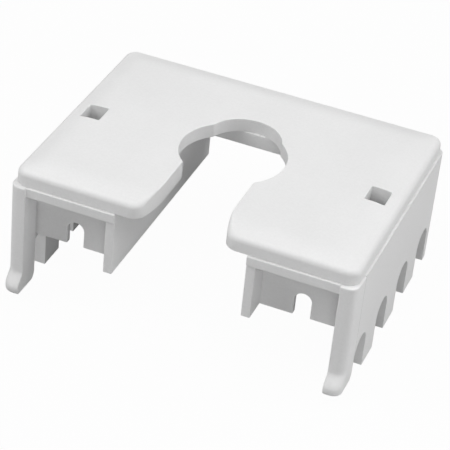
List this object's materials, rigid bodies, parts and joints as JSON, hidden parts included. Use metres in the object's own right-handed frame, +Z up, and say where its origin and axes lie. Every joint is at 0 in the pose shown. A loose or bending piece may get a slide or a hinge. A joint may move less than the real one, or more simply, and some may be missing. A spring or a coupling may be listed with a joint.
{
  "type": "desk grommet",
  "caption": "Rectangular clip-in desk cable outlet: lift-off cover plate with a keyhole opening and front mouth, on a carrier with arched side slots and clip feet.",
  "frame": {"origin": "centre of the bounding box's base, on the plane of the teeth and feet", "axes": "+X to the right along the width, cable mouth and clip toes at -Y, +Z up through the cover"},
  "size_m": [0.08, 0.0644, 0.0337],
  "materials": {
    "cover": "fine spark-eroded matte",
    "carrier": "fine matte, moulded"
  },
  "bodies": {
    "carrier": {"base_plate": "carrier", "left_side_wall": "carrier", "right_side_wall": "carrier", "left_corner_post": "carrier", "right_corner_post": "carrier", "left_neck_wall": "carrier", "right_neck_wall": "carrier", "front_left_cross_wall": "carrier", "front_right_cross_wall": "carrier", "rear_left_cross_wall": "carrier", "rear_right_cross_wall": "carrier", "rear_wall": "carrier"},
    "cover": {"cover_plate": "cover"},
    "left_clip": {"left_clip_foot": "carrier"},
    "right_clip": {"right_clip_foot": "carrier"}
  },
  "joints": [
    {"name": "cover_lift", "type": "slide", "parent": "carrier", "child": "cover", "axis": [0, 0, 1], "range_m": [0, 0.03]},
    {"name": "left_clip_flex", "type": "hinge", "parent": "carrier", "child": "left_clip", "pos_m": [-0.0381, -0.02635, 0.01065], "axis": [1, 0, 0], "range_deg": [0, 4], "stiffness_Nm_per_rad": 0.05},
    {"name": "right_clip_flex", "type": "hinge", "parent": "carrier", "child": "right_clip", "pos_m": [0.0381, -0.02635, 0.01065], "axis": [1, 0, 0], "range_deg": [0, 4], "stiffness_Nm_per_rad": 0.05}
  ]
}
